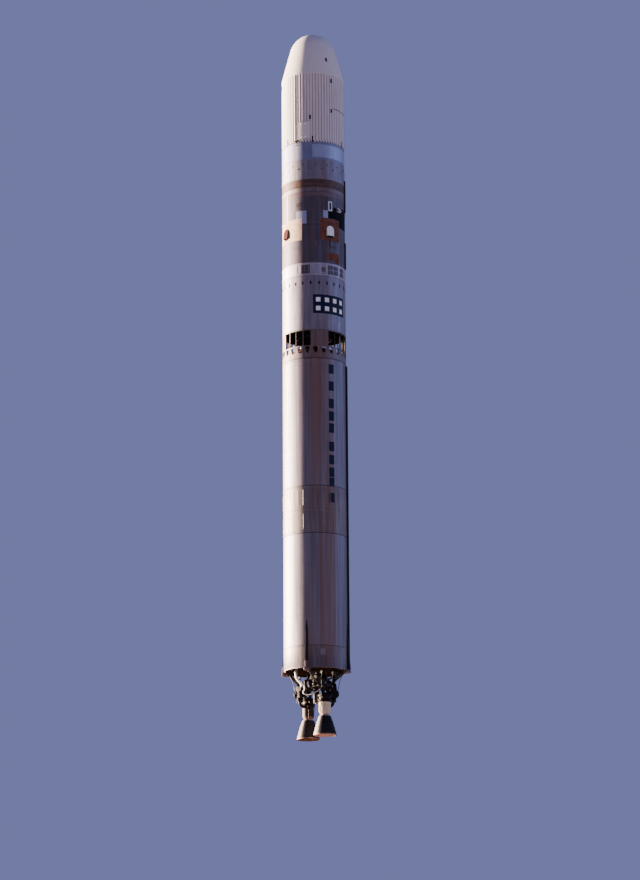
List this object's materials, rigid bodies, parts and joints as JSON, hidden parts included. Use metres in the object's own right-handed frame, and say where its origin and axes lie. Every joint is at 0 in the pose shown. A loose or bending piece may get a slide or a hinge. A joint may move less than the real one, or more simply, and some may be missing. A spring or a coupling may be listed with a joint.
{
  "type": "two-stage space rocket",
  "caption": "Slim two-stage liquid rocket with bare metal tanks, vented interstage, corrugated fairing and gimballed engine chambers on a tube frame.",
  "frame": {"origin": "on the long axis, in the plane of the four feet that stand on the launch ring", "axes": "+Z along the long axis towards the nose; -Y the side with the hull markings, and the two thrust chambers lie in a line along Y"},
  "size_m": [3.2576, 3.2576, 34.9912],
  "materials": {
    "bare_aluminium": "bare, lightly weathered",
    "stiffened_aluminium": "bare, rivet lines",
    "pale_paint": "satin",
    "fairing_paint": "satin, weathered",
    "bronze_coating": "satin",
    "cork_insulation": "matt",
    "dark_paint": "matt",
    "heat_stained_steel": "heat stained",
    "tube_steel": "painted tube, worn",
    "bright_steel": "ground",
    "heat_blanket": "quilted glass cloth"
  },
  "bodies": {
    "airframe": {"actuator_barrel_front_a": "tube_steel", "actuator_barrel_front_b": "tube_steel", "actuator_barrel_rear_a": "tube_steel", "actuator_barrel_rear_b": "tube_steel", "aft_skirt": "bare_aluminium", "between_tanks": "stiffened_aluminium", "bronze_band": "bronze_coating", "equipment_section": "bare_aluminium", "exhaust_duct_front": "heat_stained_steel", "exhaust_duct_rear": "heat_stained_steel", "fairing_door": "fairing_paint", "fairing_front": "fairing_paint", "fairing_left": "fairing_paint", "fairing_right": "fairing_paint", "forward_skirt": "stiffened_aluminium", "fuel_line_front": "heat_blanket", "fuel_line_rear": "heat_blanket", "fuel_tank": "bare_aluminium", "insulation_back": "cork_insulation", "insulation_front": "cork_insulation", "insulation_left": "cork_insulation", "insulation_right": "cork_insulation", "interstage": "stiffened_aluminium", "longeron_1": "stiffened_aluminium", "longeron_2": "stiffened_aluminium", "longeron_3": "stiffened_aluminium", "longeron_4": "stiffened_aluminium", "oxidiser_line_front": "heat_blanket", "oxidiser_line_rear": "heat_blanket", "oxidiser_tank": "bare_aluminium", "pale_ring": "pale_paint", "payload_adapter": "pale_paint", "raceway_lower": "dark_paint", "raceway_middle": "dark_paint", "raceway_upper": "dark_paint", "thrust_frame_front": "tube_steel", "thrust_frame_rear": "tube_steel", "thruster_cover_back": "pale_paint", "thruster_cover_front": "pale_paint", "thruster_cover_left": "pale_paint", "thruster_cover_right": "pale_paint", "turbopump_front": "heat_stained_steel", "turbopump_rear": "heat_stained_steel", "upper_engine": "heat_stained_steel", "upper_fuel_tank": "bare_aluminium", "upper_oxidiser_tank": "bare_aluminium", "upper_skirt": "bare_aluminium"},
    "gimbal_cross_front": {"gimbal_cross_front": "bright_steel"},
    "thrust_chamber_front": {"injector_head_front": "heat_stained_steel", "nozzle_front": "heat_stained_steel", "chamber_blanket_front": "heat_blanket"},
    "actuator_rod_front_a": {"actuator_rod_front_a": "bright_steel"},
    "actuator_rod_front_b": {"actuator_rod_front_b": "bright_steel"},
    "gimbal_cross_rear": {"gimbal_cross_rear": "bright_steel"},
    "thrust_chamber_rear": {"injector_head_rear": "heat_stained_steel", "nozzle_rear": "heat_stained_steel", "chamber_blanket_rear": "heat_stained_steel"},
    "actuator_rod_rear_a": {"actuator_rod_rear_a": "bright_steel"},
    "actuator_rod_rear_b": {"actuator_rod_rear_b": "bright_steel"}
  },
  "joints": [
    {"name": "gimbal_front_outer", "type": "hinge", "parent": "airframe", "child": "gimbal_cross_front", "pos_m": [0, -0.82, -0.8], "axis": [0.7071, 0.7071, 0], "range_deg": [-5, 5]},
    {"name": "gimbal_front_inner", "type": "hinge", "parent": "gimbal_cross_front", "child": "thrust_chamber_front", "pos_m": [0, -0.82, -0.8], "axis": [0.7071, -0.7071, 0], "range_deg": [-5, 5]},
    {"name": "actuator_rod_front_a_slide", "type": "slide", "parent": "airframe", "child": "actuator_rod_front_a", "axis": [0, 0, 1], "range_m": [-0.037, 0.037]},
    {"name": "actuator_rod_front_b_slide", "type": "slide", "parent": "airframe", "child": "actuator_rod_front_b", "axis": [0, 0, 1], "range_m": [-0.037, 0.037]},
    {"name": "gimbal_rear_outer", "type": "hinge", "parent": "airframe", "child": "gimbal_cross_rear", "pos_m": [0, 0.82, -0.8], "axis": [-0.7071, -0.7071, 0], "range_deg": [-5, 5]},
    {"name": "gimbal_rear_inner", "type": "hinge", "parent": "gimbal_cross_rear", "child": "thrust_chamber_rear", "pos_m": [0, 0.82, -0.8], "axis": [-0.7071, 0.7071, 0], "range_deg": [-5, 5]},
    {"name": "actuator_rod_rear_a_slide", "type": "slide", "parent": "airframe", "child": "actuator_rod_rear_a", "axis": [0, 0, 1], "range_m": [-0.037, 0.037]},
    {"name": "actuator_rod_rear_b_slide", "type": "slide", "parent": "airframe", "child": "actuator_rod_rear_b", "axis": [0, 0, 1], "range_m": [-0.037, 0.037]}
  ],
  "couplings": [
    {"joint": "actuator_rod_front_a_slide", "follows": "gimbal_front_inner", "m_per_rad": -0.42},
    {"joint": "actuator_rod_front_b_slide", "follows": "gimbal_front_outer", "m_per_rad": -0.42},
    {"joint": "actuator_rod_rear_a_slide", "follows": "gimbal_rear_inner", "m_per_rad": -0.42},
    {"joint": "actuator_rod_rear_b_slide", "follows": "gimbal_rear_outer", "m_per_rad": -0.42}
  ]
}
